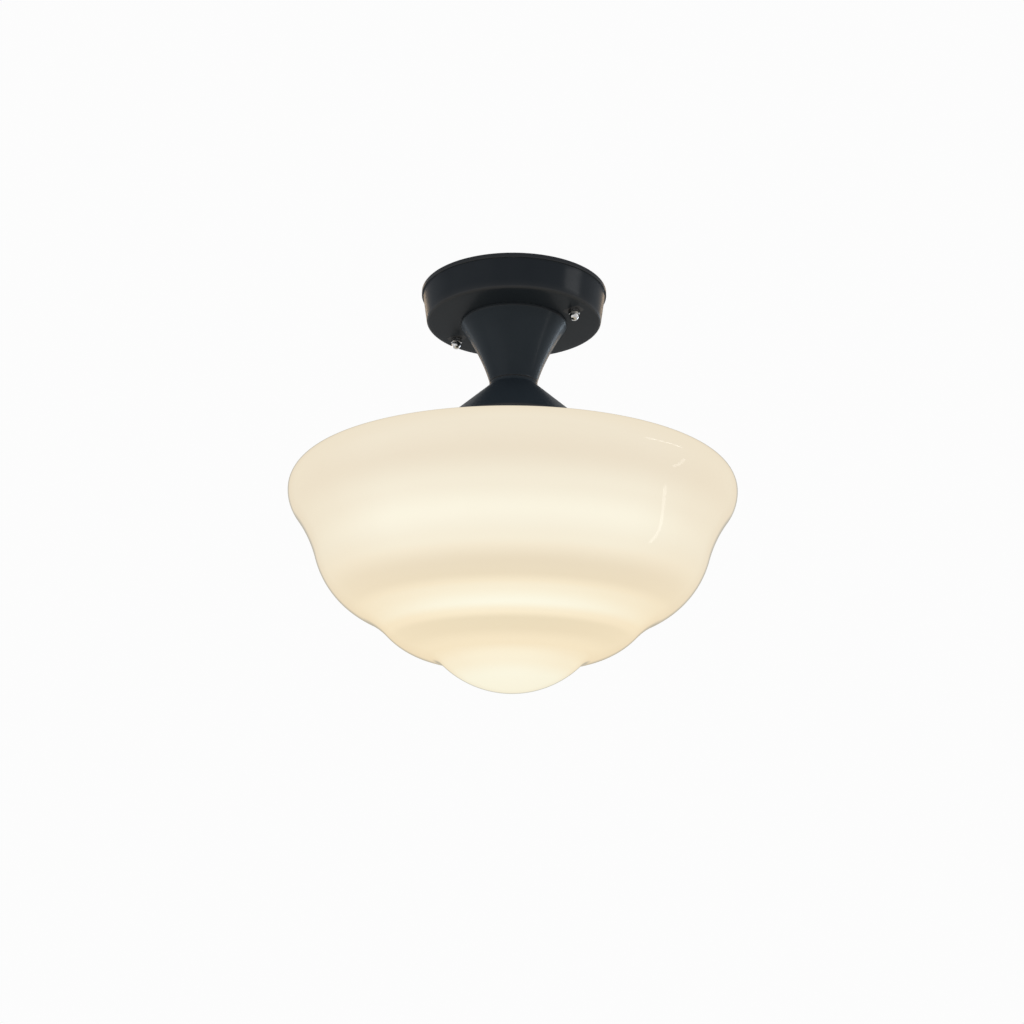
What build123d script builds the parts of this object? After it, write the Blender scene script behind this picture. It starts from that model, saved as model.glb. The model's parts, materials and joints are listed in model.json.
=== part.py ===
from build123d import *
from math import asin, atan2, cos, degrees, hypot, pi, radians, sin, sqrt, tan
import os

# Semi flush ceiling light. A spun steel canopy, a trumpet shaped neck cone and a shade holder
# are drawn together by one threaded nipple, and a stepped opal glass bowl hangs in the holder
# on three thumbscrews, around one screw-base lamp.
# Millimetres. The origin is on the light's axis in the ceiling plane, +Z is up and the light
# hangs down from z = 0. The cap nuts lie along X and the outlet box screws along Y.

# Clearances
push_gap = 0.05      # a shaft or thread in its hole
face_gap = 0.3       # neighbours that may move past each other
seat_gap = 0.1       # loose seats inside the lamp and the lampholder

# Canopy, the pan against the ceiling
sheet = 1.2          # spun steel sheet of the canopy and the holder
canopy_rim_radius = 65.8
canopy_rim_height = 3.1
canopy_rim_width = 2.3
canopy_rim_overhang = 1.1   # rim outside the wall's upper end
canopy_wall_taper = 3.0     # wall's upper end outside its lower end
canopy_depth = 23.6
canopy_edge_round = 2.0

# Mounting plate, studs and cap nuts
plate_edge = 6.8            # plate outside the studs' centres
plate_thick = 2.0
plate_wire_hole_radius = 11.0
box_screw_spacing = 88.9    # outlet box ears, 3 1/2 in
box_slot_width = 5.0
box_slot_length = 13.0
stud_spacing = 98.4         # 3 7/8 in
stud_radius = 2.0           # M4 thread
stud_hole_play = 0.3        # canopy hole around the stud
jam_nut_flats = 7.0
jam_nut_thick = 3.2
cap_nut_flats = 7.0
cap_nut_hex_height = 3.2
cap_nut_height = 8.0
cap_nut_end_wall = 1.4
cap_nut_dome_radius = 3.25
cap_nut_washer_face = 0.5   # turned face against the canopy
ground_screw_angle = 60.0
ground_screw_reach = 31.0   # from the axis
ground_screw_radius = 2.4
ground_head_radius = 3.6
ground_head_height = 2.4
ground_slot_width = 0.9
ground_slot_depth = 0.8

# Nipple and its nuts
nipple_radius = 5.14        # 1/8 pipe thread
nipple_bore_radius = 3.6
nipple_hole_play = 0.16
nipple_top_spare = 2.4      # nipple standing above its top nut
pipe_nut_flats = 14.3
pipe_nut_thick = 4.0
pipe_washer_radius = 9.5
pipe_washer_thick = 1.0

# Neck cone
cone_wall = 1.4
cone_base_radius = 37.4
cone_rim_height = 1.5       # upright edge that stands on the canopy
cone_bow_radius = 22.8      # where the flare's two end tangents meet
cone_bow_drop = 23.3        # and how far that is below the canopy
cone_straight_end = 1.0     # upright stretch at the lower end
cone_height = 44.7
cone_edge_round = 0.7

# Shade holder
neck_radius = 16.9          # shared by the cone's lower end and the holder's neck
neck_height = 2.7
flare_angle = 47.8          # from the axis
fitter_radius = 50.8        # inside of the skirt, a 4 in fitter
skirt_edge_drop = 1.0       # skirt between the screw bushings and the hem
hem_height = 2.4
hem_width = 1.2
flare_round = 3.0

# Thumbscrews in the skirt
screw_count = 3
screw_first_angle = 90.0
screw_radius = 2.08
screw_pitch = 0.79375       # 32 threads per inch
screw_turns = 2.0           # from tight to clear of the glass lip
screw_head_radius = 4.8
screw_head_thick = 4.6
screw_head_standoff = 5.2   # outer bushing face to head
screw_collar_radius = 3.1
screw_collar_thick = 1.5
knurl_count = 24
knurl_radius = 0.42
spigot_radius = 1.4
spigot_length = 0.75
tip_radius = 2.6
bushing_barrel_radius = 3.1
bushing_flange_radius = 4.0
bushing_flange_thick = 1.2

# Opal glass bowl: rounds are (centre radius, drop of the centre below the widest circle, radius)
glass = 3.0
shade_radius = 152.4        # 12 in across
shoulder_top_round = 15.9
shoulder_low_round = 24.7
belly = (74.1, 28.3, 60.7)
third_tier = (45.6, 57.5, 53.7)
tip_round_radius = 66.9
tip_centre_drop = 66.4
waist_hollow = 96.9
first_step_hollow = 59.2
second_step_hollow = 14.5
crown_slope = 7.0           # degrees, rising inward from the shoulder
glass_neck_height = 19.5    # lip's top to the crown
lip_side_play = 1.6         # lip inside the skirt
lip_overhang = 1.6          # lip beyond the glass neck
lip_height = 5.0
lip_round = 1.9
lip_headroom = 1.6          # left above the lip when the glass is lifted
neck_root_round = 6.0
shade_lift = 3.0            # play of the lip above the thumbscrews

# Lampholder, medium screw
cap_start_drop = 0.8        # bottom nut to cap hub
hub_radius = 7.6
hub_height = 7.0
cap_radius = 19.6
cap_wall = 1.0
cap_dome_height = 9.0
cap_skirt_height = 8.0
nipple_hub_reach = 5.8      # nipple inside the hub
set_screw_radius = 1.5
set_screw_head = 1.1
set_screw_slot_width = 0.5
set_screw_slot_depth = 0.5
porcelain_top_drop = 3.0    # cap's dome foot to the porcelain's top
porcelain_height = 34.0
porcelain_radius = 20.0
porcelain_floor_drop = 10.5
porcelain_round = 3.0
shell_wall = 0.5
shell_play = 0.2            # porcelain bore around the screw shell
shell_length = 22.0
contact_width = 6.0
contact_thick = 0.5
contact_rise = 1.9          # centre tongue below the porcelain floor
contact_foot = 8.0
rivet_radius = 1.3
rivet_length = 1.6
terminal_reach = 11.0       # terminal screws from the axis
terminal_radius = 2.2
terminal_washer_radius = 3.0
terminal_washer_thick = 0.8
terminal_height = 4.0
terminal_depth = 5.0
terminal_slot_width = 0.7
terminal_slot_depth = 0.7

# Lamp
thread_pitch = 3.629        # 7 threads per inch
thread_crest = 12.95        # outside radius of the lamp's thread
thread_depth = 0.66
thread_turns = 5            # turned on the base
thread_clear = 0.35         # lampholder crest around the lamp's crest
button_radius = 4.6
button_height = 1.6
insulator_radius = 11.4
insulator_height = 3.4
base_wall = 0.4
base_collar_height = 2.0
lamp_length = 107.3
globe_radius = 30.0
globe_seam_rise = 11.5      # seam above the globe's centre
globe_pull = 12.0           # how far the housing's flare keeps the globe's slope
lamp_neck_pull = 16.0       # and the neck's
lamp_neck_radius = 13.6
plastic_wall = 1.6
sink_wall = 1.0
led_board_thick = 1.2
led_count = 12
led_ring_radius = 16.0
led_size = 3.0
led_thick = 0.7
driver_width = 15.0
driver_length = 26.0
driver_thick = 1.4

# Leads and connectors
lead_radius = 1.1
lead_spacing = 2.7          # centre to centre in the nipple
lead_bend = 5.4             # tight bends at the nipple's ends
lead_deck_bends = [8.5, 9.0]
ground_lead_bends = [7.0, 9.0, 9.0]
wire_nut_length = 19.0
wire_nut_mouth_radius = 5.2
wire_nut_end_radius = 3.7
wire_nut_hole_play = 0.2
wire_nut_ribs = 12
wire_nut_grip = 9.0         # lead inside the connector

# Levels and radii that follow from the sizes above
canopy_wall_radius = canopy_rim_radius - canopy_rim_overhang
canopy_floor_radius = canopy_wall_radius - canopy_wall_taper
canopy_floor = -canopy_depth
cone_foot = canopy_floor - cone_height
flare_top = cone_foot - neck_height
holder_radius = fitter_radius + sheet
flare_foot = flare_top - (holder_radius - neck_radius) / tan(radians(flare_angle))
inner_flare_top = flare_top - sheet / sin(radians(flare_angle))
lip_radius = fitter_radius - lip_side_play
glass_neck_radius = lip_radius - lip_overhang
lip_flare_level = inner_flare_top - (lip_radius - neck_radius) / tan(radians(flare_angle))
lip_level = lip_flare_level - shade_lift - lip_headroom
crown_start_radius = shade_radius - shoulder_top_round * (1 - sin(radians(crown_slope)))
crown_rise = (shoulder_top_round * cos(radians(crown_slope))
              + (crown_start_radius - glass_neck_radius) * tan(radians(crown_slope)))
shade_level = lip_level - glass_neck_height - crown_rise
lip_underside = lip_level - lip_height
screw_travel = screw_turns * screw_pitch
tip_face = glass_neck_radius + face_gap
tip_thick = fitter_radius - tip_face - screw_travel - seat_gap
screw_level = lip_underside - face_gap - tip_radius
skirt_foot = screw_level - bushing_flange_radius - skirt_edge_drop - hem_height
nipple_hole_radius = nipple_radius + nipple_hole_play
plate_radius = stud_spacing / 2 + plate_edge
top_nut_level = canopy_floor + sheet + pipe_washer_thick
nipple_top = top_nut_level + pipe_nut_thick + nipple_top_spare
bottom_nut_level = cone_foot - sheet - pipe_washer_thick
hub_top = bottom_nut_level - pipe_nut_thick - cap_start_drop
nipple_foot = hub_top - nipple_hub_reach
dome_top = hub_top - hub_height
dome_foot = dome_top - cap_dome_height
cap_foot = dome_foot - cap_skirt_height
porcelain_top = dome_foot - porcelain_top_drop
porcelain_foot = porcelain_top - porcelain_height
porcelain_floor = porcelain_top - porcelain_floor_drop
shell_crest = thread_crest + thread_clear
shell_radius = shell_crest + thread_depth + shell_wall
contact_level = porcelain_floor - contact_thick - contact_rise
button_top = contact_level - face_gap
insulator_top = button_top - button_height
base_top = insulator_top - insulator_height
base_foot = base_top - push_gap - thread_turns * thread_pitch
collar_foot = base_foot - base_collar_height
lamp_foot = button_top - lamp_length
globe_centre = lamp_foot + globe_radius
globe_seam = globe_centre + globe_seam_rise
globe_seam_radius = sqrt(globe_radius ** 2 - globe_seam_rise ** 2)
cap_nut_depth = cap_nut_height - cap_nut_end_wall
lead_deck = nipple_top + lead_bend + face_gap


def turned(lines):
    # solid turned about Z from a closed outline of (radius, height) lines
    return revolve(Plane.XZ * make_face(Curve() + lines), Axis.Z)


def turned_polygon(*points):
    return turned([Polyline(*points, close=True)])


def rounded_outline(lines, rounds):
    # closed face with the corners nearest to the given points rounded, as (point, radius)
    face = Sketch() + make_face(Curve() + lines)
    for point, radius in rounds:
        corner = face.vertices().sort_by_distance((point[0], point[1], 0))[0]
        face = fillet(corner, radius)
    return face


def spun(lines, rounds):
    return revolve(Plane.XZ * rounded_outline(lines, rounds), Axis.Z)


def tube(outer, inner, low, high):
    return Pos(0, 0, low) * extrude(Circle(outer) - Circle(inner), high - low)


def rod(radius, low, high):
    return Pos(0, 0, low) * extrude(Circle(radius), high - low)


def hex_nut(flats, bore, low, high):
    # hex nut along Z with its corners turned off at both ends
    corner = flats / sqrt(3)
    relief = (corner - flats / 2) * 0.6
    blank = Pos(0, 0, low) * extrude(RegularPolygon(flats / 2, 6, major_radius=False), high - low)
    envelope = rod(corner, low, high)
    envelope = chamfer(envelope.edges().filter_by(GeomType.CIRCLE), relief)
    return (blank & envelope) - rod(bore, low - 1, high + 1)


def arc(centre, radius, start, end):
    # arc about a (radius, height) centre between two directions in degrees
    def at(angle):
        return (centre[0] + radius * cos(radians(angle)), centre[1] + radius * sin(radians(angle)))
    return ThreePointArc(at(start), at((start + end) / 2), at(end))


def direction(start, end):
    return degrees(atan2(end[1] - start[1], end[0] - start[0]))


# Mounting

def mounting_plate():
    plate = rod(plate_radius, -plate_thick, 0)
    plate = fillet(plate.edges().filter_by(GeomType.CIRCLE).group_by(Axis.Z)[0], plate_thick / 3)
    plate -= rod(plate_wire_hole_radius, -plate_thick - 1, 1)
    for side in (-1, 1):
        slot = SlotOverall(box_slot_length, box_slot_width, rotation=90)
        plate -= Pos(0, side * box_screw_spacing / 2, -plate_thick - 1) * extrude(slot, plate_thick + 2)
        plate -= Pos(side * stud_spacing / 2, 0, 0) * rod(stud_radius + push_gap, -plate_thick - 1, 1)
    return plate - ground_place() * rod(ground_screw_radius + push_gap, -plate_thick - 1, 1)


def ground_place():
    return Rot(0, 0, ground_screw_angle) * Pos(ground_screw_reach, 0, 0)


def ground_screw():
    head = rod(ground_head_radius, -plate_thick - ground_head_height, -plate_thick)
    head = fillet(head.edges().filter_by(GeomType.CIRCLE).group_by(Axis.Z)[0], ground_head_height / 3)
    slot = Pos(0, 0, -plate_thick - ground_head_height) * Box(
        ground_head_radius * 3, ground_slot_width, ground_slot_depth * 2)
    return ground_place() * (head + rod(ground_screw_radius, -plate_thick, 0) - slot)


def stud_places():
    return [Pos(side * stud_spacing / 2, 0, 0) for side in (-1, 1)]


def mounting_studs():
    foot = canopy_floor - cap_nut_depth + push_gap
    stud = chamfer(rod(stud_radius, foot, 0).edges().group_by(Axis.Z)[0], stud_radius / 5)
    return [place * stud for place in stud_places()]


def stud_jam_nuts():
    nut = hex_nut(jam_nut_flats, stud_radius + push_gap, -plate_thick - jam_nut_thick, -plate_thick)
    return [place * nut for place in stud_places()]


def cap_nut(place):
    corner = cap_nut_flats / sqrt(3)
    hex_foot = canopy_floor - cap_nut_hex_height
    body = hex_nut(cap_nut_flats, stud_radius, hex_foot, canopy_floor)
    dome_height = cap_nut_height - cap_nut_hex_height
    upright = dome_height - cap_nut_dome_radius
    dome = turned([
        Line((0, canopy_floor), (cap_nut_dome_radius, canopy_floor)),
        Line((cap_nut_dome_radius, canopy_floor), (cap_nut_dome_radius, hex_foot - upright)),
        arc((0, hex_foot - upright), cap_nut_dome_radius, 0, -90),
        Line((0, canopy_floor - cap_nut_height), (0, canopy_floor)),
    ])
    washer_face = rod(corner * 0.98, canopy_floor - cap_nut_washer_face, canopy_floor)
    hole = rod(stud_radius + push_gap, canopy_floor - cap_nut_depth, canopy_floor + 1)
    return place * (body + dome + washer_face - hole)


# Canopy, cone and holder

def canopy():
    lean = canopy_wall_taper / (canopy_depth - canopy_rim_height)
    inset = sheet * hypot(1, lean)
    rim_inside = canopy_rim_radius - canopy_rim_width
    inner_foot = canopy_floor_radius - inset + lean * sheet
    lines = [Polyline(
        (canopy_rim_radius, 0), (canopy_rim_radius, -canopy_rim_height),
        (canopy_wall_radius, -canopy_rim_height), (canopy_floor_radius, canopy_floor),
        (nipple_hole_radius, canopy_floor), (nipple_hole_radius, canopy_floor + sheet),
        (inner_foot, canopy_floor + sheet),
        (canopy_wall_radius - inset, -canopy_rim_height), (rim_inside, 0),
        close=True)]
    rounds = [
        ((canopy_floor_radius, canopy_floor), canopy_edge_round),
        ((inner_foot, canopy_floor + sheet), canopy_edge_round - sheet),
        ((canopy_rim_radius, -canopy_rim_height), canopy_rim_overhang - 0.3),
    ]
    pan = spun(lines, rounds)
    for place in stud_places():
        pan -= place * rod(stud_radius + stud_hole_play, canopy_floor - 1, canopy_floor + sheet + 1)
    return pan


def neck_cone():
    rim = canopy_floor - cone_rim_height
    bow = canopy_floor - cone_bow_drop
    foot = cone_foot + cone_straight_end
    inner_floor = cone_foot + cone_wall
    lines = [
        Line((cone_base_radius - cone_wall, canopy_floor), (cone_base_radius, canopy_floor)),
        Line((cone_base_radius, canopy_floor), (cone_base_radius, rim)),
        Bezier((cone_base_radius, rim), (cone_bow_radius, bow), (neck_radius, foot)),
        Line((neck_radius, foot), (neck_radius, cone_foot)),
        Line((neck_radius, cone_foot), (nipple_hole_radius, cone_foot)),
        Line((nipple_hole_radius, cone_foot), (nipple_hole_radius, inner_floor)),
        Line((nipple_hole_radius, inner_floor), (neck_radius - cone_wall, inner_floor)),
        Bezier((neck_radius - cone_wall, inner_floor), (cone_bow_radius - cone_wall, bow),
               (cone_base_radius - cone_wall, canopy_floor)),
    ]
    rounds = [((cone_base_radius, rim), cone_edge_round), ((neck_radius, cone_foot), cone_edge_round)]
    return spun(lines, rounds)


def shade_holder():
    spread = tan(radians(flare_angle))
    neck_inside = neck_radius - sheet
    inner_neck_foot = inner_flare_top + sheet / spread
    inner_flare_foot = inner_flare_top - (fitter_radius - neck_radius) / spread
    hem_radius = holder_radius + hem_width
    hem_top = skirt_foot + hem_height
    lines = [Polyline(
        (nipple_hole_radius, cone_foot), (neck_radius, cone_foot), (neck_radius, flare_top),
        (holder_radius, flare_foot), (holder_radius, hem_top), (hem_radius, hem_top),
        (hem_radius, skirt_foot), (fitter_radius, skirt_foot),
        (fitter_radius, inner_flare_foot), (neck_inside, inner_neck_foot),
        (neck_inside, cone_foot - sheet), (nipple_hole_radius, cone_foot - sheet),
        close=True)]
    rounds = [
        ((neck_radius, cone_foot), cone_edge_round),
        ((neck_radius, flare_top), flare_round / 2),
        ((holder_radius, flare_foot), flare_round),
        ((fitter_radius, inner_flare_foot), flare_round - sheet),
        ((hem_radius, hem_top), hem_width * 0.8),
        ((hem_radius, skirt_foot), hem_width * 0.8),
    ]
    holder = spun(lines, rounds)
    for angle in screw_angles():
        hole = rod(bushing_barrel_radius + push_gap, fitter_radius - 5, holder_radius + 5)
        holder -= outward(hole, angle)
    return holder


def nipple():
    body = tube(nipple_radius, nipple_bore_radius, nipple_foot, nipple_top)
    ends = body.edges().filter_by(GeomType.CIRCLE).filter_by(lambda e: e.radius > nipple_bore_radius + 0.1)
    return chamfer(ends, 0.6)


def pipe_washer(level):
    return tube(pipe_washer_radius, nipple_radius + push_gap, level, level + pipe_washer_thick)


def pipe_nut(low):
    return hex_nut(pipe_nut_flats, nipple_radius + push_gap, low, low + pipe_nut_thick)


# Thumbscrews, drawn along Z from the light's axis and then laid outward

def screw_angles():
    return [screw_first_angle + 360 / screw_count * index for index in range(screw_count)]


def outward(piece, angle):
    return Rot(0, 0, angle) * Pos(0, 0, screw_level) * Rot(0, 90, 0) * piece


def screw_bushings():
    flange_start = holder_radius + push_gap
    flange_end = flange_start + bushing_flange_thick
    flange = rod(bushing_flange_radius, flange_start, flange_end)
    flange = fillet(flange.edges().filter_by(GeomType.CIRCLE).group_by(Axis.Z)[-1], 0.4)
    bushing = flange + rod(bushing_barrel_radius, fitter_radius, flange_end)
    bushing -= rod(screw_radius + push_gap, fitter_radius - 1, flange_end + 1)
    return [outward(bushing, angle) for angle in screw_angles()]


def thumbscrew(angle):
    shank_start = tip_face + tip_thick + push_gap
    head_start = holder_radius + push_gap + bushing_flange_thick + screw_head_standoff
    head_end = head_start + screw_head_thick
    head = rod(screw_head_radius, head_start, head_end)
    head = chamfer(head.edges().filter_by(GeomType.CIRCLE), 0.6)
    for index in range(knurl_count):
        groove = Pos(screw_head_radius, 0, 0) * rod(knurl_radius, head_start - 1, head_end + 1)
        head -= Rot(0, 0, 360 / knurl_count * index) * groove
    collar = rod(screw_collar_radius, head_start - screw_collar_thick, head_start)
    shank = rod(screw_radius, shank_start, head_start)
    spigot = rod(spigot_radius, shank_start - spigot_length, shank_start)
    dimple = Pos(0, 0, head_end) * Cone(0.1, screw_head_radius * 0.55, 1.2)
    return outward(head + collar + shank + spigot - dimple, angle)


def thumbscrew_tip(angle):
    tip = rod(tip_radius, tip_face, tip_face + tip_thick)
    tip = fillet(tip.edges().filter_by(GeomType.CIRCLE).group_by(Axis.Z)[0], tip_thick / 4)
    pocket = rod(spigot_radius + push_gap, tip_face + tip_thick - spigot_length, tip_face + tip_thick + 1)
    return outward(tip - pocket, angle)


# Glass bowl

def hollow_between(first, second, hollow):
    # centre of the hollow arc that touches two rounds from outside, on their outer side
    reach_first = first[2] + hollow
    reach_second = second[2] + hollow
    across = second[0] - first[0]
    up = second[1] - first[1]
    apart = hypot(across, up)
    along = (apart ** 2 + reach_first ** 2 - reach_second ** 2) / (2 * apart)
    aside = sqrt(reach_first ** 2 - along ** 2)
    return (first[0] + (along * across - aside * up) / apart,
            first[1] + (along * up + aside * across) / apart)


def bowl_arcs(inset):
    # the bowl's wall from its crown to its tip, moved inward by the inset
    rounds = [(shade_radius - shoulder_low_round, shade_level, shoulder_low_round)]
    rounds += [(reach, shade_level - drop, radius) for reach, drop, radius in (belly, third_tier)]
    rounds += [(0, shade_level - tip_centre_drop, tip_round_radius)]
    top_centre = (shade_radius - shoulder_top_round, shade_level)
    arcs = [arc(top_centre, shoulder_top_round - inset, 90 - crown_slope, 0)]
    leave = 0
    for first, second, hollow in zip(rounds, rounds[1:],
                                     (waist_hollow, first_step_hollow, second_step_hollow)):
        centre = hollow_between(first, second, hollow)
        arrive = direction(first, centre)
        arcs.append(arc(first, first[2] - inset, leave, arrive))
        leave = direction(second, centre)
        arcs.append(arc(centre, hollow + inset, arrive + 180, leave + 180))
    arcs.append(arc(rounds[-1], tip_round_radius - inset, leave, -90))
    return arcs


def crown_height(radius, inset):
    # height of the crown's straight cone at a radius
    slope = radians(crown_slope)
    start_radius = shade_radius - shoulder_top_round + (shoulder_top_round - inset) * sin(slope)
    start_level = shade_level + (shoulder_top_round - inset) * cos(slope)
    return start_level + (start_radius - radius) * tan(slope)


def shade():
    neck_inside = glass_neck_radius - glass
    outer = bowl_arcs(0)
    inner = bowl_arcs(glass)
    outer_root = (glass_neck_radius, crown_height(glass_neck_radius, 0))
    inner_root = (neck_inside, crown_height(neck_inside, glass))
    lines = outer + inner + [
        Line(outer[-1] @ 1, inner[-1] @ 1),
        Polyline(outer[0] @ 0, outer_root, (glass_neck_radius, lip_underside),
                 (lip_radius, lip_underside), (lip_radius, lip_level),
                 (neck_inside, lip_level), inner_root, inner[0] @ 0),
    ]
    rounds = [
        (outer_root, neck_root_round),
        (inner_root, neck_root_round + glass),
        ((lip_radius, lip_level), lip_round),
        ((neck_inside, lip_level), lip_round),
        ((lip_radius, lip_underside), lip_round / 4),
    ]
    return spun(lines, rounds)


# Lampholder

def socket_cap():
    dome_span = cap_radius - hub_radius
    bulge = (hub_radius + dome_span * 0.72, dome_top - cap_dome_height * 0.34)
    inner_bulge = (bulge[0] - cap_wall * 0.7, bulge[1] - cap_wall * 0.7)
    bore = nipple_radius + push_gap
    lines = [
        Polyline((bore, hub_top), (hub_radius, hub_top), (hub_radius, dome_top)),
        ThreePointArc((hub_radius, dome_top), bulge, (cap_radius, dome_foot)),
        Polyline((cap_radius, dome_foot), (cap_radius, cap_foot), (cap_radius - cap_wall, cap_foot),
                 (cap_radius - cap_wall, dome_foot)),
        ThreePointArc((cap_radius - cap_wall, dome_foot), inner_bulge, (hub_radius, dome_top - cap_wall)),
        Polyline((hub_radius, dome_top - cap_wall), (bore, dome_top - cap_wall), (bore, hub_top)),
    ]
    cap = turned(lines)
    return cap - set_screw_place() * rod(set_screw_radius + push_gap, 0, hub_radius)


def set_screw_place():
    return Pos(0, 0, hub_top - hub_height / 2) * Rot(90, 0, 0)


def socket_set_screw():
    start = nipple_radius + push_gap
    screw = rod(set_screw_radius, start, hub_radius + set_screw_head)
    slot = Pos(0, 0, hub_radius + set_screw_head) * Box(
        set_screw_radius * 3, set_screw_slot_width, set_screw_slot_depth * 2)
    return set_screw_place() * (screw - slot)


def socket_body():
    bore = shell_radius + shell_play
    seat = cap_radius - cap_wall - seat_gap
    collar = cap_foot - seat_gap
    lines = [Polyline(
        (0, porcelain_top), (seat, porcelain_top), (seat, collar), (porcelain_radius, collar),
        (porcelain_radius, porcelain_foot), (bore, porcelain_foot), (bore, porcelain_floor),
        (0, porcelain_floor), close=True)]
    rounds = [((porcelain_radius, porcelain_foot), porcelain_round)]
    body = spun(lines, rounds)
    for side in (-1, 1):
        body -= Pos(side * terminal_reach, 0, 0) * rod(
            terminal_radius + push_gap, porcelain_top - terminal_depth, porcelain_top + 1)
    return body - rod(rivet_radius + push_gap, porcelain_floor - 1, porcelain_floor + rivet_length)


def thread_waves(crest, top, count, inward):
    # rounded thread seen in section: half-pitch arcs that swell and hollow by turns
    half = thread_pitch / 2
    middle = crest - thread_depth / 2 if inward else crest + thread_depth / 2
    waves = []
    for index in range(2 * count):
        start = top - index * half
        swell = thread_depth / 2 * (1 if index % 2 else -1)
        waves.append(ThreePointArc((middle, start), (middle + swell, start - half / 2),
                                   (middle, start - half)))
    return waves


def threaded_sleeve(crest, top, count, wall, inward, skirt):
    # thin sleeve with ring threads, and a plain skirt below them
    inner_crest = crest - wall if inward else crest
    outer_crest = inner_crest + wall
    outer = thread_waves(outer_crest, top, count, inward)
    inner = thread_waves(inner_crest, top, count, inward)
    foot = (outer[-1] @ 1).Y - skirt
    outer_side = (outer[-1] @ 1).X
    inner_side = (inner[-1] @ 1).X
    lines = outer + inner + [
        Line(outer[0] @ 0, inner[0] @ 0),
        Polyline(outer[-1] @ 1, (outer_side, foot), (inner_side, foot), inner[-1] @ 1),
    ]
    return turned(lines)


def socket_shell():
    waves = int(shell_length / thread_pitch)
    skirt = shell_length - waves * thread_pitch
    return threaded_sleeve(shell_crest, porcelain_floor, waves, shell_wall, False, skirt)


def socket_contact():
    bend = contact_foot * 0.35
    low = porcelain_floor - contact_thick
    tongue = Polyline(
        (-contact_foot, porcelain_floor), (-contact_foot, low), (-bend - contact_thick, low),
        (-bend / 2, contact_level), (bend, contact_level), (bend, contact_level + contact_thick),
        (-bend / 2 + contact_thick / 2, contact_level + contact_thick), (-bend, low),
        (rivet_radius * 2, low), (rivet_radius * 2, porcelain_floor), close=True)
    strip = extrude(Plane.XZ * make_face(tongue), contact_width / 2, both=True)
    return strip + rod(rivet_radius, porcelain_floor, porcelain_floor + rivet_length - push_gap)


def terminal_screw(side):
    base = porcelain_top
    washer = rod(terminal_washer_radius, base, base + terminal_washer_thick)
    post = rod(terminal_radius, base - terminal_depth + push_gap, base + terminal_height)
    slot = Pos(0, 0, base + terminal_height) * Box(
        terminal_radius * 3, terminal_slot_width, terminal_slot_depth * 2)
    return Pos(side * terminal_reach, 0, 0) * (washer + post - slot)


# Lamp

def bulb_contact():
    foot = button_top - button_height
    sag = button_height * 0.6
    return turned([
        ThreePointArc((0, button_top), (button_radius * 0.55, button_top - sag * 0.3),
                      (button_radius, button_top - sag)),
        Polyline((button_radius, button_top - sag), (button_radius, foot), (0, foot), (0, button_top)),
    ])


def bulb_insulator():
    seat = insulator_top - seat_gap
    return turned_polygon(
        (0, seat), (button_radius + seat_gap, seat), (button_radius + seat_gap, seat + 0.5),
        (button_radius + 1.2, seat + 0.5), (insulator_radius, base_top), (0, base_top))


def bulb_base_shell():
    return threaded_sleeve(thread_crest, base_top - push_gap, thread_turns, base_wall, True,
                           base_collar_height)


def lamp_side(inset):
    # flare of the lamp's housing down to its seam with the globe
    lean_out = globe_seam_rise / globe_radius
    lean_up = globe_seam_radius / globe_radius
    return Bezier((lamp_neck_radius - inset, collar_foot),
                  (lamp_neck_radius + 1 - inset, collar_foot - lamp_neck_pull),
                  (globe_seam_radius - inset - lean_out * globe_pull,
                   globe_seam + lean_up * globe_pull),
                  (globe_seam_radius - inset, globe_seam))


def bulb_housing():
    top = collar_foot + base_collar_height + 1.0
    neck = thread_crest - thread_depth - base_wall - seat_gap
    inside = neck - plastic_wall
    outer = lamp_side(0)
    inner = lamp_side(plastic_wall)
    return turned([
        outer, inner, Line(outer @ 1, inner @ 1),
        Polyline(outer @ 0, (neck, collar_foot), (neck, top), (inside, top),
                 (inside, collar_foot), inner @ 0),
    ])


def bulb_heat_sink():
    inset = plastic_wall + seat_gap
    outer = lamp_side(inset)
    inner = lamp_side(inset + sink_wall)
    floor = globe_seam + sink_wall
    foot_radius = (inner @ 1).X
    return turned([
        outer, inner, Line(outer @ 0, inner @ 0), Line(outer @ 1, inner @ 1),
    ]) + (rod(foot_radius, globe_seam, floor) & turned([
        inner, Line(inner @ 1, (0, globe_seam)), Line((0, globe_seam), (0, collar_foot)),
        Line((0, collar_foot), inner @ 0)]))


def bulb_led_board():
    return rod(globe_seam_radius - plastic_wall * 2, globe_seam - led_board_thick, globe_seam)


def bulb_leds():
    low = globe_seam - led_board_thick - led_thick
    chip = Pos(led_ring_radius, 0, low) * extrude(Rectangle(led_size, led_size), led_thick)
    return [Rot(0, 0, 360 / led_count * index) * chip for index in range(led_count)]


def bulb_driver_board():
    foot = globe_seam + sink_wall
    board = Pos(0, 0, foot) * extrude(Rectangle(driver_width, driver_thick), driver_length)
    choke = Pos(0, driver_thick / 2, foot + driver_length * 0.3) * Rot(-90, 0, 0) * rod(4.0, -0.2, 4.5)
    store = Pos(0, -driver_thick / 2, foot + driver_length * 0.7) * Rot(90, 0, 0) * rod(3.2, -0.2, 4.5)
    return board + choke + store


def bulb_diffuser():
    inner_radius = globe_radius - plastic_wall
    rise = globe_seam - seat_gap - globe_centre
    outer_angle = degrees(asin(rise / globe_radius))
    inner_angle = degrees(asin(rise / inner_radius))
    outer = arc((0, globe_centre), globe_radius, outer_angle, -90)
    inner = arc((0, globe_centre), inner_radius, inner_angle, -90)
    return turned([outer, inner, Line(outer @ 0, inner @ 0), Line(outer @ 1, inner @ 1)])


# Leads and connectors

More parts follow.
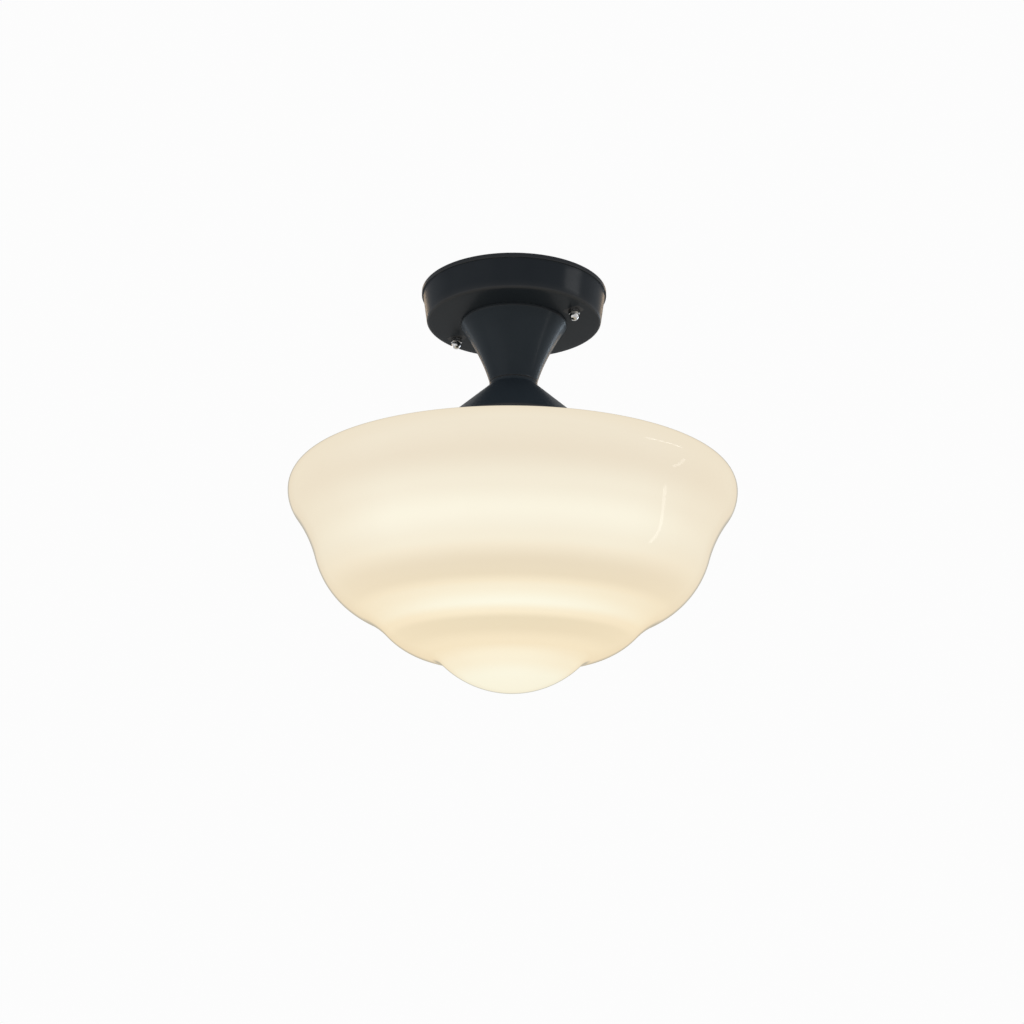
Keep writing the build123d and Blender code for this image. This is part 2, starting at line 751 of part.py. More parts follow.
def lead_along(points, radii, name):
    # one round lead along straight runs joined by arcs
    path = FilletPolyline(*points, radius=radii)
    section = Plane(origin=path @ 0, z_dir=path % 0) * Circle(lead_radius)
    lead = sweep(section, path)
    print(name, "radii", [round(radius, 2) for radius in radii],
          "length", round(path.length, 1),
          "volume share", round(lead.volume / (pi * lead_radius ** 2 * path.length), 4))
    return lead


def lamp_lead_points(side):
    start = terminal_reach - terminal_radius - face_gap
    level = porcelain_top + terminal_washer_thick + lead_radius + face_gap
    inside = lead_spacing / 2
    return [
        (side * start, 0, level), (side * inside, 0, level), (side * inside, 0, lead_deck),
        (side * 17.0, -4.0, lead_deck), (side * 25.0, -19.0, lead_deck - 1.2),
        (side * 22.0, -33.0, lead_deck - 1.6),
    ]


def ground_lead_points():
    x = ground_place().position.X - ground_head_radius - face_gap
    y = ground_place().position.Y
    level = -plate_thick - ground_head_height / 2 - 1.0
    return [
        (x, y, level), (x - 8.0, y, level), (-8.0, 32.0, lead_deck + 0.6),
        (-19.0, 35.0, lead_deck - 1.2), (-31.0, 29.0, lead_deck - 1.6),
    ]


def wire_nut(points):
    # connector pushed over the end of a lead, in line with its last run
    end, before = Vector(points[-1]), Vector(points[-2])
    along = (end - before).normalized()
    mouth = end - along * wire_nut_grip
    body = turned([
        Polyline((0, 0), (wire_nut_mouth_radius, 0), (wire_nut_mouth_radius, 3.0),
                 (wire_nut_end_radius, wire_nut_length - 1.2)),
        ThreePointArc((wire_nut_end_radius, wire_nut_length - 1.2),
                      (wire_nut_end_radius - 0.4, wire_nut_length - 0.3),
                      (wire_nut_end_radius - 1.3, wire_nut_length)),
        Polyline((wire_nut_end_radius - 1.3, wire_nut_length), (0, wire_nut_length), (0, 0)),
    ])
    for index in range(wire_nut_ribs):
        groove = Pos(wire_nut_mouth_radius - 0.2, 0, 0) * rod(0.6, 4.0, wire_nut_length + 1)
        body -= Rot(0, 0, 360 / wire_nut_ribs * index) * groove
    body -= rod(lead_radius + wire_nut_hole_play, -1, wire_nut_grip + 0.3)
    body -= turned_polygon((0, -0.01), (wire_nut_mouth_radius - 1.0, -0.01), (0, 4.5))
    return Plane(origin=mouth, z_dir=along) * body


def pieces():
    line_points = lamp_lead_points(1)
    neutral_points = lamp_lead_points(-1)
    ground_points = ground_lead_points()
    lamp_lead_bends = [lead_bend, lead_bend] + lead_deck_bends
    nodes = {
        "mounting_plate": mounting_plate(),
        "ground_screw": ground_screw(),
        "mounting_studs": mounting_studs(),
        "stud_jam_nuts": stud_jam_nuts(),
        "cap_nut_left": cap_nut(stud_places()[0]),
        "cap_nut_right": cap_nut(stud_places()[1]),
        "canopy": canopy(),
        "neck_cone": neck_cone(),
        "shade_holder": shade_holder(),
        "nipple": nipple(),
        "nipple_top_washer": pipe_washer(canopy_floor + sheet),
        "nipple_top_nut": pipe_nut(top_nut_level),
        "nipple_bottom_washer": pipe_washer(bottom_nut_level),
        "nipple_bottom_nut": pipe_nut(bottom_nut_level - pipe_nut_thick),
        "screw_bushings": screw_bushings(),
        "shade": shade(),
        "socket_cap": socket_cap(),
        "socket_set_screw": socket_set_screw(),
        "socket_body": socket_body(),
        "socket_shell": socket_shell(),
        "socket_contact": socket_contact(),
        "terminal_screw_line": terminal_screw(1),
        "terminal_screw_neutral": terminal_screw(-1),
        "lead_line": lead_along(line_points, lamp_lead_bends, "lead_line"),
        "lead_neutral": lead_along(neutral_points, lamp_lead_bends, "lead_neutral"),
        "lead_ground": lead_along(ground_points, ground_lead_bends, "lead_ground"),
        "wire_nut_line": wire_nut(line_points),
        "wire_nut_neutral": wire_nut(neutral_points),
        "wire_nut_ground": wire_nut(ground_points),
        "bulb_contact": bulb_contact(),
        "bulb_insulator": bulb_insulator(),
        "bulb_base_shell": bulb_base_shell(),
        "bulb_housing": bulb_housing(),
        "bulb_heat_sink": bulb_heat_sink(),
        "bulb_driver_board": bulb_driver_board(),
        "bulb_led_board": bulb_led_board(),
        "bulb_leds": bulb_leds(),
        "bulb_diffuser": bulb_diffuser(),
    }
    for index, angle in enumerate(screw_angles(), start=1):
        nodes[f"thumbscrew_{index}"] = thumbscrew(angle)
        nodes[f"thumbscrew_tip_{index}"] = thumbscrew_tip(angle)
    return nodes


os.makedirs("parts", exist_ok=True)
for name, shape in pieces().items():
    solids = shape if isinstance(shape, list) else [shape]
    export_step(Compound(children=solids) if len(solids) > 1 else solids[0], f"parts/{name}.step")
print("widest circle", 2 * shade_radius, "tip", round(shade_level - tip_centre_drop - tip_round_radius, 1),
      "widest level", round(shade_level, 2))
print("screw travel", screw_travel, "lamp travel", round(thread_turns * thread_pitch, 3))
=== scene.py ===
import bmesh
import bpy
import json
from math import atan2, ceil, cos, degrees, hypot, pi, radians, sin, sqrt, tan
from mathutils import Euler, Matrix, Quaternion, Vector


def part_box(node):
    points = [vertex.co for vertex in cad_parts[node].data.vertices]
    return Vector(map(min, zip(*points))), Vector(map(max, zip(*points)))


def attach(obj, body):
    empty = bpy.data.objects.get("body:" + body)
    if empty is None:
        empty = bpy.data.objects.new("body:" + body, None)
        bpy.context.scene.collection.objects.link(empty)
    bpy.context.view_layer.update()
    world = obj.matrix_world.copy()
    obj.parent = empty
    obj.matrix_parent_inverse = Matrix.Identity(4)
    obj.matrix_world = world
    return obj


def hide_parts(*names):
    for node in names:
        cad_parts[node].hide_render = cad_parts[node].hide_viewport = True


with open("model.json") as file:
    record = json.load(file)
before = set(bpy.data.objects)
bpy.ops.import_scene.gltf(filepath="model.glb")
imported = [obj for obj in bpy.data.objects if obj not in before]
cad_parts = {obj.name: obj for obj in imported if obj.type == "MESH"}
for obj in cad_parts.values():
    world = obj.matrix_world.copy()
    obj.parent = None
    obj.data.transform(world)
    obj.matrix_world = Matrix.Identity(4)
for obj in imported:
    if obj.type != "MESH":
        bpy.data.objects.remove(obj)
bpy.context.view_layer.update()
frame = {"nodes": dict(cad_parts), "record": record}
nodes = frame["nodes"]
print("frame loaded:", len(nodes), "nodes")

mm = 0.001  # sizes below are millimetres, and meshes are written in metres


def extent(node):
    # reach from the axis along X, lowest and highest level
    low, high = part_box(node)
    return high.x / mm, low.z / mm, high.z / mm


def middle(node):
    low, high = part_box(node)
    return (low + high) / 2 / mm


# Shader expressions

class Signal:
    # a socket whose value can stand in a Python expression
    def __init__(self, finish, socket):
        self.finish = finish
        self.socket = socket

    def maths(self, operation, first, second):
        return self.finish.node("ShaderNodeMath", {"operation": operation}, {0: first, 1: second})

    def __add__(self, other):
        return self.maths("ADD", self, other)

    def __radd__(self, other):
        return self.maths("ADD", other, self)

    def __sub__(self, other):
        return self.maths("SUBTRACT", self, other)

    def __rsub__(self, other):
        return self.maths("SUBTRACT", other, self)

    def __mul__(self, other):
        return self.maths("MULTIPLY", self, other)

    def __rmul__(self, other):
        return self.maths("MULTIPLY", other, self)

    def __truediv__(self, other):
        return self.maths("DIVIDE", self, other)

    def __rtruediv__(self, other):
        return self.maths("DIVIDE", other, self)


class Finish:
    # the nodes of one material or world, written as expressions
    def __init__(self, owner):
        self.owner = owner
        owner.use_nodes = True
        self.tree = owner.node_tree
        self.tree.nodes.clear()

    def node(self, kind, settings=None, sockets=None, output=0):
        made = self.tree.nodes.new(kind)
        for name, value in (settings or {}).items():
            if name == "stops":
                setStops(made.color_ramp, value)
            elif name == "ramp":
                made.color_ramp.interpolation = value
            else:
                setattr(made, name, value)
        for name, value in (sockets or {}).items():
            if isinstance(value, Signal):
                self.tree.links.new(value.socket, made.inputs[name])
            else:
                made.inputs[name].default_value = value
        return Signal(self, made.outputs[output]) if made.outputs else None

    def place(self):
        return self.node("ShaderNodeTexCoord", output="Object")

    def height(self):
        return self.node("ShaderNodeSeparateXYZ", {}, {0: self.place()}, "Z")

    def noise(self, scale, detail=2.0, vector=None):
        return self.node("ShaderNodeTexNoise", {}, {
            "Vector": vector or self.place(), "Scale": scale, "Detail": detail})

    def ramp(self, factor, stops, ramp="LINEAR"):
        return self.node("ShaderNodeValToRGB", {"stops": stops, "ramp": ramp}, {"Fac": factor})

    def blend(self, share, first, second):
        return self.node("ShaderNodeMix", {"data_type": "RGBA"}, {0: share, 6: first, 7: second}, 2)

    def bump(self, height, distance):
        return self.node("ShaderNodeBump", {}, {"Height": height, "Distance": distance, "Strength": 1.0})

    def scaled(self, first, second):
        return self.node("ShaderNodeVectorMath", {"operation": "MULTIPLY"}, {0: first, 1: second})

    def clamped(self, operation, first, second):
        return self.node("ShaderNodeMath", {"operation": operation, "use_clamp": True},
                         {0: first, 1: second})

    def done(self, sockets):
        shader = self.node("ShaderNodeBsdfPrincipled", {}, sockets)
        self.node("ShaderNodeOutputMaterial", {}, {"Surface": shader})
        return self.owner


def newFinish(name):
    return Finish(bpy.data.materials.new(name))


def setStops(ramp, stops):
    while len(ramp.elements) > 1:
        ramp.elements.remove(ramp.elements[-1])
    ramp.elements[0].position, ramp.elements[0].color = stops[0]
    for position, colour in stops[1:]:
        ramp.elements.new(position).color = colour


def grey(value):
    return (value, value, value, 1.0)


def tinted(colour, share):
    return tuple(channel * share for channel in colour[:3]) + (1.0,)


def wander(noise, centre, spread):
    # a value that follows a noise about its centre
    return (noise - 0.5) * spread + centre


# Finishes

paintLook = {
    "deep": (0.0138, 0.0182, 0.0236, 1.0),
    "lifted": (0.0188, 0.0236, 0.0296, 1.0),
    "lower": (1.50, 1.56, 1.56),          # painted light: the paint below the canopy (cone, holder, thumbscrews) is drawn half as light again and a little bluer, for the light that falls on it
    "edge": (0.048, 0.050, 0.054, 1.0),   # painted highlight: rounded edges drawn lighter, where they catch the light
    "edgeHighlightStart": 0.506,
    "edgeHighlightFull": 0.522,
    "cloudScale": 38.0,
    "roughness": 0.5,
    "roughSpread": 0.2,
    "bodyShine": 0.03,
    "gloss": 0.06,           # share of the clear top layer, and how much it wanders
    "glossSpread": 0.03,
    "glossRoughness": 0.20,
    "glossIndex": 1.7,
    "peelScale": 900.0,
    "peelHeight": 0.000012,
}


def blackPaint():
    look = paintLook
    finish = newFinish("black_paint")
    canopyFoot = extent("canopy")[1] - 0.1
    below = finish.node("ShaderNodeMath", {"operation": "LESS_THAN"},
                        {0: finish.height(), 1: canopyFoot * mm})
    cloud = finish.noise(look["cloudScale"], 3.0)
    peel = finish.noise(look["peelScale"], 1.0)
    # painted highlight: a lighter colour along rounded edges, found by their pointiness
    pointed = finish.node("ShaderNodeNewGeometry", output="Pointiness")
    edge = finish.ramp(pointed, [(look["edgeHighlightStart"], grey(0.0)), (look["edgeHighlightFull"], grey(1.0))])
    body = finish.blend(cloud, look["deep"], look["lifted"])
    # painted light: everything painted below the canopy's foot is drawn lighter than the canopy
    body = finish.blend(below, body, finish.scaled(body, look["lower"]))
    return finish.done({
        "Base Color": finish.blend(edge, body, look["edge"]),
        "Roughness": wander(cloud, look["roughness"], look["roughSpread"]),
        "Specular IOR Level": look["bodyShine"],
        "Coat Weight": wander(cloud, look["gloss"], look["glossSpread"]),
        "Coat Roughness": look["glossRoughness"],
        "Coat IOR": look["glossIndex"],
        "Normal": finish.bump(peel, look["peelHeight"]),
    })


glassLook = {
    # glow by how much lamp light a stretch gets, near the rim and near the tip
    "upper": [(0.0, (0.830, 0.710, 0.535, 1.0)), (1.0, (1.01, 0.950, 0.770, 1.0))],
    "lower": [(0.0, (0.845, 0.710, 0.470, 1.0)), (0.55, (1.0, 0.86, 0.60, 1.0)),
              (1.0, (1.04, 1.01, 0.82, 1.0))],
    "turnover": [(0.45, grey(0.0)), (0.75, grey(1.0))],  # where the one gives way to the other
    "body": (0.93, 0.90, 0.83, 1.0),
    "bodyShare": 0.25,
    "roughness": 0.3,
    "glow": 0.82,
    "start": -12.0,  # the bands' top, as a drop below the widest circle
    "bands": [(-12, 0.45), (0, 0.35), (13, 0.2), (30, 0.65), (45, 1.0), (60, 0.7), (74, 0.0),
              (78, 0.0), (84, 0.8), (91, 1.0), (96, 0.6), (100, 0.0), (104, 0.0), (110, 0.6),
              (118, 0.72), (127, 1.0)],  # drop and share of lamp light
    "limb": [(0.2, (1.0, 1.0, 1.0, 1.0)), (0.45, (0.975, 0.955, 0.93, 1.0)),
             (0.72, (0.96, 0.935, 0.90, 1.0)), (0.86, (0.91, 0.865, 0.81, 1.0)),
             (0.93, (0.48, 0.49, 0.51, 1.0))],  # painted shade on the glow: darker where the glass is seen edge on, through thicker glass, down to a grey outline at the very edge
    "mottle": 0.05,
    "mottleScale": 22.0,
    "washStart": 0.15,       # the bands wash out towards the edge, through more glass
    "washRate": 1.3,
    "washLevel": 0.5,
    "washReach": [(0.85, grey(1.0)), (0.93, grey(0.0))],  # but not at the tip
    "shineFade": 1.6,        # the clear surface, and how soon its shine fades towards the edge
    "shineRoughness": 0.04,
    "shineIndex": 1.22,
    "rippleScale": 14.0,
    "rippleHeight": 0.00006,
}


def opalGlass(widestLevel):
    look = glassLook
    finish = newFinish("opal_glass")
    span = look["bands"][-1][0] - look["start"]
    drop = (widestLevel * mm - finish.height()) / mm
    along = (drop - look["start"]) / span
    stops = [((at - look["start"]) / span, grey(share)) for at, share in look["bands"]]
    share = finish.ramp(along, stops, "EASE")
    mottle = wander(finish.noise(look["mottleScale"]), 0.0, look["mottle"])
    facing = finish.node("ShaderNodeLayerWeight", {}, {"Blend": 0.5}, "Facing")
    washed = finish.clamped("MULTIPLY", facing - look["washStart"], look["washRate"])
    washed = washed * finish.ramp(along, look["washReach"])
    lit = share + (look["washLevel"] - share) * washed + mottle
    lower = finish.ramp(along, look["turnover"])
    glow = finish.blend(lower, finish.ramp(lit, look["upper"]), finish.ramp(lit, look["lower"]))
    return finish.done({
        "Base Color": tinted(look["body"], look["bodyShare"]),
        "Roughness": look["roughness"],
        "Specular IOR Level": 0.0,
        "Coat Weight": finish.clamped("SUBTRACT", 1.0, facing * look["shineFade"]),
        "Coat Roughness": look["shineRoughness"],
        "Coat IOR": look["shineIndex"],
        # painted shade: the glow darkens towards the edge, down to a grey outline
        "Emission Color": finish.scaled(glow, finish.ramp(facing, look["limb"])),
        "Emission Strength": look["glow"],
        "Normal": finish.bump(finish.noise(look["rippleScale"], 1.0), look["rippleHeight"]),
    })


platedLook = {"dark": 0.86, "cloudSpread": 0.14, "grainSpread": 0.10, "grainScale": 1400.0,
              "grainStretch": (1.0, 1.0, 0.12)}


def plated(name, colour, roughness, cloudScale, scratch):
    # plated steel: cloudy colour, fine scratches and a grain in the shine
    look = platedLook
    finish = newFinish(name)
    cloud = finish.noise(cloudScale, 3.0)
    grain = finish.noise(look["grainScale"], 2.0, finish.scaled(finish.place(), look["grainStretch"]))
    return finish.done({
        "Base Color": finish.blend(cloud, tinted(colour, look["dark"]), tinted(colour, 1.0)),
        "Metallic": 1.0,
        "Roughness": wander(cloud, roughness, look["cloudSpread"]) + wander(grain, 0.0, look["grainSpread"]),
        "Normal": finish.bump(grain, scratch),
    })


mouldedLook = {"flowScale": 90.0, "flowStretch": (1.0, 1.0, 0.4), "grainScale": 1600.0, "roughSpread": 0.12}


def moulded(name, colour, roughness, grainHeight=0.00001, dark=0.9):
    # moulded or extruded plastic: faint flow marks and a fine grain
    look = mouldedLook
    finish = newFinish(name)
    flow = finish.noise(look["flowScale"], 2.0, finish.scaled(finish.place(), look["flowStretch"]))
    grain = finish.noise(look["grainScale"], 1.0)
    return finish.done({
        "Base Color": finish.blend(flow, tinted(colour, dark), tinted(colour, 1.0)),
        "Roughness": wander(flow, roughness, look["roughSpread"]),
        "Normal": finish.bump(grain, grainHeight),
    })


glazedLook = {"speckScale": 700.0, "specks": [(0.66, grey(0.0)), (0.74, grey(1.0))], "roughness": 0.35,
              "glazeRoughness": 0.06, "waveScale": 60.0, "waveHeight": 0.00005}


def glazed(name, colour, speck):
    # glazed ceramic or glass: a smooth clear layer over a faintly specked body
    look = glazedLook
    finish = newFinish(name)
    specks = finish.ramp(finish.noise(look["speckScale"]), look["specks"])
    return finish.done({
        "Base Color": finish.blend(specks, tinted(colour, 1.0), tinted(colour, speck)),
        "Roughness": look["roughness"],
        "Coat Weight": 1.0,
        "Coat Roughness": look["glazeRoughness"],
        "Normal": finish.bump(finish.noise(look["waveScale"], 1.0), look["waveHeight"]),
    })


glowingLook = {"cloudScale": 160.0, "dark": 0.92, "dim": 0.9, "roughSpread": 0.1}


def glowing(name, colour, glow, roughness):
    # a part that gives light: cloudy body colour and an even glow
    look = glowingLook
    finish = newFinish(name)
    cloud = finish.noise(look["cloudScale"])
    return finish.done({
        "Base Color": finish.blend(cloud, tinted(colour, look["dark"]), tinted(colour, 1.0)),
        "Roughness": wander(cloud, roughness, look["roughSpread"]),
        "Emission Color": finish.blend(cloud, tinted(glow, look["dim"]), tinted(glow, 1.0)),
        "Emission Strength": 1.0,
    })


bowlShape = {
    "wall": 3.0,
    "shoulderTop": 15.9,            # round above the widest circle
    "shoulderLow": 24.7,            # round below it
    "belly": (74.1, 28.3, 60.7),    # centre radius, drop below the widest circle, round
    "thirdTier": (45.6, 57.5, 53.7),
    "tip": (0.0, 66.4, 66.9),
    "hollows": (96.9, 59.2, 14.5),  # waist and the two steps
    "crownSlope": 7.0,
    "neck": 47.6,
    "neckRoot": 6.0,
    "lip": 49.2,
    "lipHeight": 5.0,
    "lipRounds": (0.6, 0.5, 1.9, 1.8),  # its root, under its edge, over its edge and inside
    "sides": 192,
}
bowlRadius, bowlLow, bowlTop = extent("shade")
widestLevel = bowlLow + bowlShape["tip"][1] + bowlShape["tip"][2]

finishes = {
    "black_paint": blackPaint(),
    "opal_glass": opalGlass(widestLevel),
    "nickel": plated("nickel", (0.52, 0.52, 0.52), 0.20, 120.0, 0.000002),
    "zinc_steel": plated("zinc_steel", (0.60, 0.62, 0.66), 0.36, 160.0, 0.000006),
    "brass": plated("brass", (0.80, 0.58, 0.25), 0.28, 140.0, 0.000004),
    "aluminium": plated("aluminium", (0.72, 0.72, 0.73), 0.34, 80.0, 0.000008),
    "solder": plated("solder", (0.58, 0.58, 0.57), 0.42, 320.0, 0.00002),
    "green_screw": moulded("green_screw", (0.04, 0.26, 0.09), 0.30),
    "vinyl": moulded("vinyl", (0.74, 0.74, 0.70), 0.34),
    "black_insulation": moulded("black_insulation", (0.018, 0.018, 0.019), 0.42, dark=0.6),
    "white_insulation": moulded("white_insulation", (0.80, 0.79, 0.75), 0.42),
    "green_insulation": moulded("green_insulation", (0.03, 0.28, 0.09), 0.42),
    "orange_plastic": moulded("orange_plastic", (0.80, 0.22, 0.03), 0.40),
    "white_plastic": moulded("white_plastic", (0.80, 0.79, 0.76), 0.38),
    "board": moulded("board", (0.72, 0.74, 0.70), 0.45, 0.00002),
    "porcelain": glazed("porcelain", (0.80, 0.78, 0.72), 0.82),
    "black_insulator": glazed("black_insulator", (0.020, 0.014, 0.022), 2.5),
    "phosphor": glowing("phosphor", (0.80, 0.62, 0.10), (0.55, 0.42, 0.12), 0.35),
    "frosted_plastic": glowing("frosted_plastic", (0.55, 0.53, 0.49), (0.62, 0.56, 0.44), 0.5),
}
print("finishes made:", len(finishes))


# Mesh tools

def arc(centre, radius, start, end, step=1.5):
    # points about a (radius, height) centre between two directions in degrees
    count = max(2, ceil(abs(end - start) / step))
    turns = [radians(start + (end - start) * index / count) for index in range(count + 1)]
    return [(centre[0] + radius * cos(turn), centre[1] + radius * sin(turn)) for turn in turns]


def rounded(corners, closed=True, step=12.0):
    # straight lines through (radius, height, round) corners, each corner turned off by its round
    line = []
    mostOfSide = 0.49
    for index, (x, y, size) in enumerate(corners):
        here = Vector((x, y))
        before = Vector(corners[index - 1][:2]) - here
        after = Vector(corners[(index + 1) % len(corners)][:2]) - here
        if size == 0 or (not closed and index in (0, len(corners) - 1)):
            line.append((x, y))
            continue
        half = before.angle(after) / 2
        reach = min(size / tan(half), before.length * mostOfSide, after.length * mostOfSide)
        start = before.normalized() * reach
        end = after.normalized() * reach
        centre = (start + end).normalized() * hypot(reach, reach * tan(half))
        turn = pi - 2 * half
        count = max(2, ceil(turn / radians(step)))
        for part in range(count + 1):
            share = turn * part / count
            point = here + centre + ((start - centre) * sin(turn - share)
                                     + (end - centre) * sin(share)) / sin(turn)
            line.append((point.x, point.y))
    return line


def divided(line, longest):
    # the same line with long stretches cut into even parts
    points = [line[0]]
    for start, end in zip(line, line[1:]):
        count = max(1, ceil(hypot(end[0] - start[0], end[1] - start[1]) / longest))
        points += [(start[0] + (end[0] - start[0]) * part / count,
                    start[1] + (end[1] - start[1]) * part / count) for part in range(1, count + 1)]
    return points


def dividedLoop(line, longest):
    return divided(line + line[:1], longest)[:-1]


def curved(start, control, end, count):
    # quadratic curve through the two ends, bowed towards the control
    shares = [index / count for index in range(count + 1)]
    return [tuple(a * (1 - s) ** 2 + 2 * b * s * (1 - s) + c * s ** 2
                  for a, b, c in zip(start, control, end)) for s in shares]


def turned(line, sides, closed=True, shape=None):
    # mesh turned about Z from (radius, height) points; shape may change both by angle
    mesh = bmesh.new()
    rings = []
    for radius, height in line:
        if radius < 1e-6:
            rings.append([mesh.verts.new((0, 0, height * mm))] * sides)
            continue
        ring = []
        for side in range(sides):
            angle = 2 * pi * side / sides
            r, z = shape(angle, radius, height) if shape else (radius, height)
            ring.append(mesh.verts.new((r * cos(angle) * mm, r * sin(angle) * mm, z * mm)))
        rings.append(ring)
    pairs = list(zip(rings, rings[1:])) + ([(rings[-1], rings[0])] if closed else [])
    for upper, lower in pairs:
        for side in range(sides):
            after = (side + 1) % sides
            corners = [upper[side], upper[after], lower[after], lower[side]]
            face = list(dict.fromkeys(corners))
            if len(face) > 2:
                mesh.faces.new(face)
    bmesh.ops.recalc_face_normals(mesh, faces=mesh.faces)
    creased(mesh)
    return mesh


def creased(mesh, sharp=32.0):
    # smooth faces, parted where they meet at more than the sharp angle
    for face in mesh.faces:
        face.smooth = True
    for edge in mesh.edges:
        edge.smooth = edge.calc_face_angle(0.0) < radians(sharp)


def rodLine(radius, low, high, edge=0.0):
    # outline of a solid rod, from pole to pole
    return [(0, high)] + rounded([(0, high, 0), (radius, high, edge), (radius, low, edge),
                                  (0, low, 0)], closed=False)[1:-1] + [(0, low)]


def at(x, y, z=0.0):
    return Matrix.Translation(Vector((x, y, z)) * mm)


def join(meshes):
    # several meshes as one
    whole = bmesh.new()
    for mesh in meshes:
        part = bpy.data.meshes.new("part")
        mesh.to_mesh(part)
        mesh.free()
        whole.from_mesh(part)
        bpy.data.meshes.remove(part)
    return whole


def placed(mesh, matrix):
    bmesh.ops.transform(mesh, matrix=matrix, verts=mesh.verts)
    return mesh


def newObject(name, mesh):
    # an object in the scene from a mesh
    data = bpy.data.meshes.new(name)
    mesh.to_mesh(data)
    mesh.free()
    made = bpy.data.objects.new(name, data)
    bpy.context.scene.collection.objects.link(made)
    return made


def piece(name, mesh, slotName, body, *replaced):
    # an object with its finish, its body and the nodes that it stands for
    made = newObject(name, mesh)
    made.data.materials.append(finishes[slotName])
    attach(made, body)
    if replaced:
        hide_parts(*replaced)
    return made


drillLook = {"reach": 5.0, "sides": 48, "seam": 0.004}  # reach past the wall; points this close become one


def drill(radius, low, high):
    return turned(rodLine(radius, low - drillLook["reach"], high + drillLook["reach"]),
                  drillLook["sides"], closed=False)


def drilled(made, drills):
    # cuts the drills, given as meshes, out of an object
    for cutter in drills:
        tool = newObject("drill", cutter)
        cut = made.modifiers.new("cut", "BOOLEAN")
        cut.operation = "DIFFERENCE"
        cut.solver = "EXACT"
        cut.object = tool
        graph = bpy.context.evaluated_depsgraph_get()
        result = bpy.data.meshes.new_from_object(made.evaluated_get(graph))
        made.modifiers.remove(cut)
        bpy.data.objects.remove(tool)
        mesh = bmesh.new()
        mesh.from_mesh(result)
        bpy.data.meshes.remove(result)
        bmesh.ops.triangulate(mesh, faces=[face for face in mesh.faces if len(face.verts) > 4])
        bmesh.ops.remove_doubles(mesh, verts=mesh.verts, dist=drillLook["seam"] * mm)
        bmesh.ops.dissolve_degenerate(mesh, edges=mesh.edges, dist=drillLook["seam"] * mm)
        creased(mesh)
        mesh.to_mesh(made.data)
        mesh.free()
    return made


# Canopy, cone and holder

steel = {"sheet": 1.2, "hole": 5.3, "burr": 0.15}  # spun sheet, its hole around the nipple, broken edges
studShape = {"radius": 2.0, "pitch": 0.7, "depth": 0.38, "holePlay": 0.3, "nutPlay": 0.05, "sides": 36}
studPlaces = [middle(f"cap_nut_{side}") for side in ("left", "right")]

canopyShape = {"rimHeight": 3.1, "rimWidth": 2.3, "rimRound": 0.5, "overhang": 1.1, "taper": 3.0,
               "edgeRound": 2.0, "cornerRound": 0.3, "sides": 180}


def canopyPiece():
    rim, floor, ceiling = extent("canopy")
    look, sheet, hole, burr = canopyShape, steel["sheet"], steel["hole"], steel["burr"]
    wall = rim - look["overhang"]
    foot = wall - look["taper"]
    rimFoot = ceiling - look["rimHeight"]
    lean = look["taper"] / (rimFoot - floor)
    inset = sheet * hypot(1, lean)
    line = rounded([
        (rim, ceiling, look["rimRound"]), (rim, rimFoot, look["overhang"] - look["cornerRound"]),
        (wall, rimFoot, look["cornerRound"]), (foot, floor, look["edgeRound"]),
        (hole, floor, burr), (hole, floor + sheet, burr),
        (foot - inset + lean * sheet, floor + sheet, look["edgeRound"] - sheet),
        (wall - inset, rimFoot, look["cornerRound"]),
        (rim - look["rimWidth"], ceiling, look["cornerRound"])])
    made = piece("canopyPan", turned(dividedLoop(line, 4.0), look["sides"]), "black_paint",
                 "fixture", "canopy")
    bore = studShape["radius"] + studShape["holePlay"]
    return drilled(made, [placed(drill(bore, floor, floor + sheet), at(spot.x, spot.y))
                          for spot in studPlaces])


coneShape = {"wall": 1.4, "rimHeight": 1.5, "bowRadius": 22.8, "bowDrop": 23.3, "straightEnd": 1.0,
             "neck": 16.9, "edgeRound": 0.7, "steps": 48, "sides": 160}


def conePiece():
    look, hole = coneShape, steel["hole"]
    base, foot, top = extent("neck_cone")
    neck, wall, bow = look["neck"], look["wall"], top - look["bowDrop"]
    outer = curved((base, top - look["rimHeight"]), (look["bowRadius"], bow),
                   (neck, foot + look["straightEnd"]), look["steps"])
    inner = curved((neck - wall, foot + wall), (look["bowRadius"] - wall, bow), (base - wall, top),
                   look["steps"])
    corners = [(base - wall, top, 0), (base, top, steel["burr"]), (*outer[0], look["edgeRound"])]
    corners += [(*point, 0) for point in outer[1:]]
    corners += [(neck, foot, look["edgeRound"]), (hole, foot, 0), (hole, foot + wall, 0)]
    corners += [(*point, 0) for point in inner[:-1]]
    return piece("neckCone", turned(rounded(corners), look["sides"]), "black_paint", "fixture", "neck_cone")


holderShape = {"neck": 16.9, "neckHeight": 2.7, "neckRound": 0.7, "flareAngle": 47.8, "flareRound": 3.0,
               "fitter": 50.8, "hemHeight": 2.4, "hemRound": 0.96, "insideRound": 0.6, "cornerRound": 0.3,
               "screwHole": 3.15, "sides": 180}
screwAngles = (90.0, 210.0, 330.0)
screwLevel = middle("thumbscrew_1").z


def outward(angle):
    # from a piece drawn along Z at the axis to one laid outward through the skirt
    return (Matrix.Rotation(radians(angle), 4, "Z") @ at(0, 0, screwLevel)
            @ Matrix.Rotation(radians(90), 4, "Y"))


